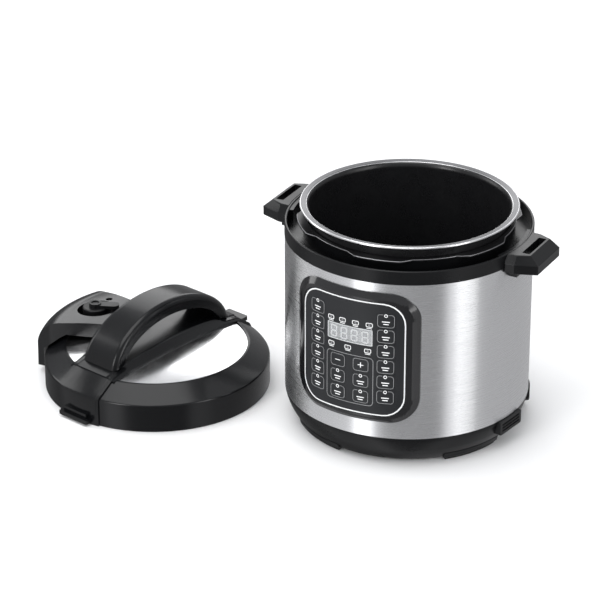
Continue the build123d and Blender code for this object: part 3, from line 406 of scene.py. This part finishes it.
# --------------------------------------------------------------- rounded edges
EDGE_ANGLE = 32
EDGE_STEPS = 3

# node, material and how far its edges are rounded, in millimetres
MOULDINGS = (
    ("collar", BLACK, 0.7), ("left_handle", BLACK, 1.2), ("right_handle", BLACK, 1.2),
    ("base_housing", BLACK, 0.6), ("steel_shell", SHELL, 0), ("control_bezel", GLOSS, 0.5),
    ("outer_pot", WELL, 0.5), ("lid_cover", LID_BLACK, 0.8), ("handle_base", LID_BLACK, 0.4),
    ("handle_cover", LID_BLACK, 0.8), ("valve_housing", LID_BLACK, 1.0), ("steam_valve", VALVE, 0.7),
)


def cleaned_copy(node):
    """Copy of a node's mesh with its points joined, its flat faces whole and its own shading gone."""
    work = bmesh.new()
    work.from_mesh(nodes[node].data)
    bmesh.ops.remove_doubles(work, verts=work.verts, dist=0.002 * MM)
    bmesh.ops.dissolve_limit(
        work, angle_limit=radians(0.4), verts=work.verts, edges=work.edges, use_dissolve_boundaries=False
    )
    mesh = bpy.data.meshes.new(node + "_skin")
    work.to_mesh(mesh)
    work.free()
    for name in ("custom_normal", "sharp_face", "sharp_edge"):
        if name in mesh.attributes:
            mesh.attributes.remove(mesh.attributes[name])
    return mesh


def soften(node, mat, width):
    """A copy of a CAD node with rounded edges, which stands for it. A width of 0 keeps them sharp."""
    mesh = cleaned_copy(node)
    piece = add_piece(node + "_skin", mesh, node, mat)
    if width:
        smooth(mesh, 180)
        bevel = piece.modifiers.new("soft_edges", "BEVEL")
        bevel.width = width * MM
        bevel.segments = EDGE_STEPS
        bevel.limit_method = "ANGLE"
        bevel.angle_limit = radians(EDGE_ANGLE)
        weights = piece.modifiers.new("clean_shading", "WEIGHTED_NORMAL")
        weights.keep_sharp = True
    else:
        smooth(mesh, EDGE_ANGLE)
    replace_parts(piece, node)


# ----------------------------------------------------------------- cooking pot
def arc_rings(start, middle, end, index, count=6):
    """Rings along the arc through three points of a section."""
    (x0, z0), (x1, z1), (x2, z2) = start, middle, end
    d = 2 * (x0 * (z1 - z2) + x1 * (z2 - z0) + x2 * (z0 - z1))
    q0, q1, q2 = x0 * x0 + z0 * z0, x1 * x1 + z1 * z1, x2 * x2 + z2 * z2
    cx = (q0 * (z1 - z2) + q1 * (z2 - z0) + q2 * (z0 - z1)) / d
    cz = (q0 * (x2 - x1) + q1 * (x0 - x2) + q2 * (x1 - x0)) / d
    radius = hypot(x0 - cx, z0 - cz)
    a0, a2 = atan2(z0 - cz, x0 - cx), atan2(z2 - cz, x2 - cx)
    turn = (a2 - a0 + pi) % (2 * pi) - pi
    return [
        (cx + radius * cos(a0 + turn * k / count), cz + radius * sin(a0 + turn * k / count), index)
        for k in range(count + 1)
    ]


def make_pot():
    """Cooking pot: black non-stick coating. Its outer wall has the same coating, which also paints the
    shade below the rim. Bright metal on the rim's rolled outer edge, and in a thin ring on its inner edge,
    paints highlights. A grey metal band paints the light on the rim's coated top.
    """
    low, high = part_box("inner_pot")
    bottom, top, reach = low.z / MM, high.z / MM, high.x / MM
    axis, flat, inside, outside = 0.01, 96.3, 109.3, 111.3
    floor = bottom + 2.5
    lip = (110.7, top - 2.6)
    # material indices: black coating; bright metal for the painted highlights; grey band for the painted
    # light on the rim's top
    black, bright, band = 0, 1, 2
    # the painted highlight ring on the inner edge lies between these radii
    bright_from, band_from = 112.3, 113.2
    rings = [(axis, bottom, black)]
    rings += arc_rings((flat, bottom), (107, bottom + 4.2), (outside, bottom + 14), black)
    # outer wall up under the rim: black coating, which also paints the shade below the rim
    rings += arc_rings((outside, top - 7.5), (112.9, top - 3.7), (115.7, top - 2.6), black)
    rings += arc_rings((119.2, top - 2.4), (reach, top - 1.3), (118.9, top), bright)
    rings.append((118.8, top, band))
    for radius, height, _ in arc_rings((114.9, top - 0.5), (112.2, top - 1.2), lip, band, 9):
        finish = band if radius > band_from else bright if radius > bright_from else black
        rings.append((radius, height, finish))
    rings += arc_rings(lip, (109.6, top - 4.9), (inside, top - 7.5), black, 4)
    rings += arc_rings((inside, floor + 12), (105.3, floor + 3.6), (flat, floor), black)
    rings.append((axis, floor, black))
    mesh = turned("cooking_pot_skin", rings, steps=180, sharp=40)
    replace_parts(add_piece("cooking_pot_skin", mesh, "inner_pot", NONSTICK, RIM_HIGHLIGHT, RIM_SHEEN), "inner_pot")


# ---------------------------------------------------------------- fine details
def flange_edge(angle):
    """Radius of the bayonet flange's wavy edge: six lugs with a gap after each."""
    reach, gap_depth = 123, 6
    pitch, first_lug, half_lug, slope = 60, 40, 12, 6
    off = abs((angle - first_lug + pitch / 2) % pitch - pitch / 2)
    share = min(1, max(0, (off - half_lug) / slope))
    return reach - gap_depth * share


def paint_flange_highlight():
    """Painted highlight: a thin strip of light metal along the flange's upper edge, following its lugs."""
    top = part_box("outer_pot")[1].z / MM
    section = ((0.04, -1.2), (0.04, -0.4), (-0.2, -0.03), (-0.75, 0.04))
    rings = [(out, top + up, 0) for out, up in section]
    mesh = turned("flange_edge", rings, steps=360, sharp=60, edge=flange_edge)
    thickened(add_piece("flange_edge", mesh, "outer_pot", FLANGE_HIGHLIGHT), 0.03 * MM)


# the way that the lid's handle runs, in degrees
HANDLE_TURN = 77
# the brackets' outer surface, from the arch down to the skirt: radius and height in millimetres
BRACKET_LINE = (
    (100, 51.54), (104, 50.8), (107.8, 49.4), (115, 44.23),
    (122, 39.2), (128.4, 34.6), (130.3, 31), (130.3, 15),
)
# how far each bead lies from the handle's middle line, and its section across and above the surface
BEAD_SIDES = (-28.7, -26.6)
BEAD_SECTION = ((-0.45, -0.3), (-0.45, 0.05), (-0.22, 0.34), (0.22, 0.34), (0.45, 0.05), (0.45, -0.3))


def bead_rows(end, side):
    """Sections of a bead that runs down one end of the handle, at one side of its middle line."""
    along_handle = Vector((cos(radians(HANDLE_TURN)), sin(radians(HANDLE_TURN)), 0))
    across = UP.cross(along_handle)
    path = [(sqrt(radius * radius - side * side), z) for radius, z in BRACKET_LINE]
    rows = []
    for i, (x, z) in enumerate(path):
        before, after = path[max(0, i - 1)], path[min(len(path) - 1, i + 1)]
        run, rise = after[0] - before[0], after[1] - before[1]
        length = hypot(run, rise)
        row = []
        for wide, high in BEAD_SECTION:
            spot = end * (x - rise / length * high) * along_handle
            spot += (side + wide) * across + (z + run / length * high) * UP
            row.append(LID_CENTRE + spot * MM)
        rows.append(row)
    return rows


def make_bracket_beads():
    """Pair of fine beads beside the seam between the handle's brackets and the lid."""
    for end, place in ((-1, "near"), (1, "far")):
        for number, side in enumerate(BEAD_SIDES):
            name = f"bracket_bead_{place}_{number + 1}"
            add_piece(name, tube(name, bead_rows(end, side), sharp=50), "handle_base", LID_BLACK)


def make_sensor_spring():
    """Coil spring under the sensor."""
    low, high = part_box("sensor_spring")
    wire, turns, steps, around = 0.6 * MM, 5, 32, 10
    bottom, top = low.z + wire, high.z - wire
    middle = (low + high) / 2
    radius = (high.x - low.x) / 2 - wire
    rows = []
    for i in range(turns * steps + 1):
        turn = 2 * pi * i / steps
        out = Vector((cos(turn), sin(turn), 0))
        height = bottom + (top - bottom) * i / (turns * steps)
        at = Vector((middle.x, middle.y, height)) + radius * out
        angles = [2 * pi * k / around for k in range(around)]
        rows.append([at + wire * (cos(angle) * out + sin(angle) * UP) for angle in angles])
    name = "sensor_spring_coil"
    coil = add_piece(name, tube(name, rows, sharp=60), "sensor_spring", SCREW, body="cooker")
    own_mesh(coil)
    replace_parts(coil, "sensor_spring")


# ------------------------------------------------------------------ the prints
# Shapes are given along the panel's curve and upwards, in millimetres.
PANEL_R = -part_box("control_overlay")[0].y / MM
OVERLAY_PRINT_R = PANEL_R + 0.06
KEY_PRINT_R = PANEL_R + 0.21
DISPLAY_PRINT_R = PANEL_R + 0.26
INK_DEPTH = 0.04 * MM

# degrees round the panel, the lamps' height and the height of the dashes under them
LAMP_ROWS = (
    ((-9.2, -3.3, 3.0, 9.4), 172.5, 168.6),
    ((-9.0, -0.6, 8.8), 141.5, 137.7),
)
DIGITS, DIGIT_PITCH = 4, 12.4
# how wide and high the outline on a key of each column is
KEY_OUTLINES = {"left": (18.2, 14.7), "right": (18.2, 14.7), "middle": (17.2, 14.2)}
SIGN_KEYS = {"key_middle_1": "-", "key_middle_2": "+"}


def along(angle):
    """Distance along the panel's curve of an angle in degrees."""
    return PANEL_R * radians(angle)


def finer(path):
    """The same path with no piece of it longer than a step."""
    step, slack = 1.5, 0.001
    made = [path[0]]
    for (s0, z0), (s1, z1) in zip(path, path[1:]):
        count = max(1, ceil(hypot(s1 - s0, z1 - z0) / step - slack))
        made += [(s0 + (s1 - s0) * k / count, z0 + (z1 - z0) * k / count) for k in range(1, count + 1)]
    return made


def rounded_box(s, z, width, height, corner, gap=0.0):
    """Outline of a rounded box, clockwise from the middle of its top, open there by the gap."""
    steps = 6
    path = [(s + gap / 2, z + height / 2)]
    for side, way, start in ((1, 1, 90), (1, -1, 0), (-1, -1, -90), (-1, 1, -180)):
        cs = s + side * (width / 2 - corner)
        cz = z + way * (height / 2 - corner)
        for k in range(steps + 1):
            a = radians(start - 90 * k / steps)
            path.append((cs + corner * cos(a), cz + corner * sin(a)))
    path.append((s - gap / 2, z + height / 2))
    return path


def ring_path(s, z, radius):
    steps = 24
    angles = [2 * pi * k / steps for k in range(steps + 1)]
    return [(s + radius * cos(a), z + radius * sin(a)) for a in angles]


def line(path, width):
    """Strip of even width along a path: its points and faces."""
    path = finer(path)
    points, faces = [], []
    last = len(path) - 1
    shut = hypot(path[0][0] - path[-1][0], path[0][1] - path[-1][1]) < 0.001
    for k, (s, z) in enumerate(path):
        before = path[k - 1] if k else path[-2] if shut else path[0]
        after = path[k + 1] if k < last else path[1] if shut else path[-1]
        ds, dz = after[0] - before[0], after[1] - before[1]
        length = hypot(ds, dz)
        ns, nz = -dz / length * width / 2, ds / length * width / 2
        points += [(s + ns, z + nz), (s - ns, z - nz)]
        if k:
            faces.append((2 * k - 2, 2 * k - 1, 2 * k + 1, 2 * k))
    return points, faces


def dash(s, z, length, width):
    return line([(s - length / 2, z), (s + length / 2, z)], width)


def digit(s, z):
    """A figure eight of seven bars."""
    width, height, stroke = 6.6, 12.6, 1.5
    bars = [dash(s, z + k * height / 2, width - 0.6, stroke) for k in (-1, 0, 1)]
    for side in (-1, 1):
        for way in (-1, 1):
            x = s + side * width / 2
            bars.append(line([(x, z + way * 0.7), (x, z + way * (height / 2 - 0.5))], stroke))
    return bars


def print_on_panel(name, node, shapes, radius, mat):
    """A layer of ink bent round the panel's curve."""
    verts, faces = [], []
    for points, quads in shapes:
        first = len(verts)
        verts += [
            (radius * sin(s / PANEL_R) * MM, -radius * cos(s / PANEL_R) * MM, z * MM) for s, z in points
        ]
        faces += [tuple(first + v for v in quad) for quad in quads]
    thickened(add_piece(name, new_mesh(name, verts, faces, 60), node, mat), INK_DEPTH)


def print_panel():
    """White frame and lamps, grey box round the middle keys, and the display's digits."""
    face = [line(rounded_box(0, 132.6, width=2 * along(25.3), height=133.0, corner=24), 1.5)]
    for angles, z, dash_z in LAMP_ROWS:
        for angle in angles:
            at = along(angle)
            lamp = rounded_box(at, z, width=7.0, height=4.4, corner=1.2)
            face += [line(lamp, 0.8), dash(at, dash_z, 6.0, 0.8)]
    print_on_panel("panel_white_print", "control_overlay", face, OVERLAY_PRINT_R, WHITE_INK)
    box_line = [line(rounded_box(0, 104.6, width=2 * along(11.3), height=57.4, corner=4.5), 0.6)]
    print_on_panel("panel_grey_print", "control_overlay", box_line, OVERLAY_PRINT_R, GREY_INK)
    window = [line(rounded_box(0, 157.4, width=52.6, height=18.2, corner=1.0), 0.9)]
    for k in range(DIGITS):
        window += digit(DIGIT_PITCH * (k - (DIGITS - 1) / 2), 157.2)
    print_on_panel("display_digits", "display_module", window, DISPLAY_PRINT_R, SEGMENT)


def print_key(key, s, z, width, height):
    """Outline of one key, with its sign or with its lamp ring and two dashes."""
    sign = SIGN_KEYS.get(key)
    lamp_gap = 0.0 if sign else 6.0
    outline = [line(rounded_box(s, z, width, height, corner=3.2, gap=lamp_gap), 0.5)]
    print_on_panel(key + "_outline", key, outline, KEY_PRINT_R, GREY_INK)
    if sign:
        arm, stroke = 3.25, 0.9
        marks = [dash(s, z, 2 * arm, stroke)]
        if sign == "+":
            marks.append(line([(s, z - arm), (s, z + arm)], stroke))
    else:
        lamp = ring_path(s, z + height / 2 - 1.1, 1.6)
        marks = [line(lamp, 0.8), dash(s, z - 0.9, 8.5, 1.1), dash(s, z - 3.7, 6.0, 1.1)]
    print_on_panel(key + "_marks", key, marks, KEY_PRINT_R, WHITE_INK)


def print_keys():
    """Prints each key where its joint's axis and its box say that it is."""
    for name, joint in joints.items():
        if name.startswith("key_"):
            key = name.removesuffix("_press")
            inwards = joint["axis"]
            low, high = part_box(key)
            width, height = KEY_OUTLINES[key.split("_")[1]]
            s = -PANEL_R * atan2(inwards[0], inwards[1])
            print_key(key, s, (low.z + high.z) / 2 / MM, width, height)


# ------------------------------------------------------------------ the studio
# how light each studio wall is, by its direction from the front in degrees
WALL_SHADES = (
    (-180, 0.5), (-135, 0.14), (-84, 0.24), (-74, 0.62), (-27, 0.75), (-20, 1.5), (-8, 1.5), (-1, 0.5),
    (7, 0.35), (58, 0.28), (66, 0.9), (76, 0.95), (90, 0.6), (104, 0.5), (150, 0.48), (180, 0.5),
)
CEILING = (0.66, 0.67, 0.69, 1)
# how far up a direction points where the walls end and where the ceiling begins
WALL_TOP, CEILING_EDGE = 0.1, 0.4

COOKER_MIDDLE = (0, 0, 0.12)
LID_MIDDLE = (-0.28, -0.07, 0.05)
# name, place, aim, width, height and power
SOFTBOXES = (
    ("top_softbox", (-0.3, -0.5, 2.6), COOKER_MIDDLE, 2.2, 2.2, 42),
    ("left_softbox", (-2.4, -0.4, 0.95), COOKER_MIDDLE, 0.9, 1.7, 14),
    ("front_softbox", (-0.75, -3.0, 1.3), COOKER_MIDDLE, 0.8, 1.4, 26),
    ("right_softbox", (2.4, -0.5, 1.0), COOKER_MIDDLE, 0.9, 1.8, 18),
    ("back_softbox", (-1.5, 2.2, 1.5), LID_MIDDLE, 2.4, 1.6, 24),
)


def hang_softboxes():
    for name, place, aim, width, height, power in SOFTBOXES:
        data = bpy.data.lights.new(name, "AREA")
        data.energy = power
        data.shape = "RECTANGLE"
        data.size = width
        data.size_y = height
        lamp = bpy.data.objects.new(name, data)
        lamp.location = place
        lamp.rotation_euler = (Vector(aim) - Vector(place)).to_track_quat("-Z", "Y").to_euler()
        bpy.context.scene.collection.objects.link(lamp)


def build_walls():
    """Studio walls seen by shiny surfaces: light and dark panels under a bright ceiling."""
    world = bpy.data.worlds.new("studio")
    bpy.context.scene.world = world
    world.use_nodes = True
    split = add_node(world, "SeparateXYZ")
    link(world, add_node(world, "TexCoord").outputs["Generated"], split.inputs[0])
    front = add_node(world, "Math", operation="MULTIPLY")
    front.inputs[1].default_value = -1
    link(world, split.outputs["Y"], front.inputs[0])
    turn = add_node(world, "Math", operation="ARCTAN2")
    link(world, split.outputs["X"], turn.inputs[0])
    link(world, front.outputs[0], turn.inputs[1])
    place = add_node(world, "MapRange", in_From_Min=-pi, in_From_Max=pi)
    link(world, turn.outputs[0], place.inputs["Value"])
    walls = add_node(world, "ValToRGB")
    link(world, place.outputs["Result"], walls.inputs["Fac"])
    stops = walls.color_ramp.elements
    for i, (angle, shade) in enumerate(WALL_SHADES):
        position = (angle + 180) / 360
        stop = stops[i] if i < 2 else stops.new(position)
        stop.position = position
        stop.color = (shade, shade, shade * 1.02, 1)
    height = add_node(world, "MapRange", in_From_Min=WALL_TOP, in_From_Max=CEILING_EDGE)
    link(world, split.outputs["Z"], height.inputs["Value"])
    mixed = add_node(world, "Mix", data_type="RGBA")
    link(world, height.outputs["Result"], mixed.inputs["Factor"])
    link(world, walls.outputs["Color"], mixed.inputs["A"])
    mixed.inputs["B"].default_value = CEILING
    link(world, mixed.outputs["Result"], world.node_tree.nodes["Background"].inputs["Color"])


def lay_floor():
    """Pale floor, left out of reflections so that the steel shows the walls."""
    half = 40
    corners = [(-half, -half, 0), (half, -half, 0), (half, half, 0), (-half, half, 0)]
    mesh = bpy.data.meshes.new("floor")
    mesh.from_pydata(corners, [], [(0, 1, 2, 3)])
    floor = bpy.data.objects.new("floor", mesh)
    floor.location.z = -0.2 * MM
    bpy.context.scene.collection.objects.link(floor)
    paper = new_material("pale_paper", (0.9, 0.9, 0.9), roughness=0.8)
    vary_colour(paper, noise(paper, 1.5, 2), (0.885, 0.885, 0.885), (0.9, 0.9, 0.9))
    mesh.materials.append(paper)
    floor.visible_glossy = False


def place_camera():
    """Long lens from the front right, looking down at 26 degrees."""
    azimuth = radians(28.36)
    elevation = radians(25.88)
    distance = 3.363
    aim_left, aim_up = 0.11936, 0.01579
    back = Vector((sin(azimuth) * cos(elevation), -cos(azimuth) * cos(elevation), sin(elevation)))
    right = Vector((cos(azimuth), sin(azimuth), 0))
    up = back.cross(right)
    target = Vector(COOKER_MIDDLE) - aim_left * right + aim_up * up
    data = bpy.data.cameras.new("camera")
    data.sensor_width = 36
    data.lens = 182.05
    camera = bpy.data.objects.new("camera", data)
    turned_to = Matrix((right, up, back)).transposed().to_4x4()
    camera.matrix_world = Matrix.Translation(target + distance * back) @ turned_to
    bpy.context.scene.collection.objects.link(camera)
    bpy.context.scene.camera = camera


dress_nodes()
for moulding in MOULDINGS:
    soften(*moulding)
make_pot()
paint_flange_highlight()
make_bracket_beads()
make_sensor_spring()
print_panel()
print_keys()

lay_floor()
build_walls()
hang_softboxes()
place_camera()
bpy.context.scene.view_settings.view_transform = "Standard"
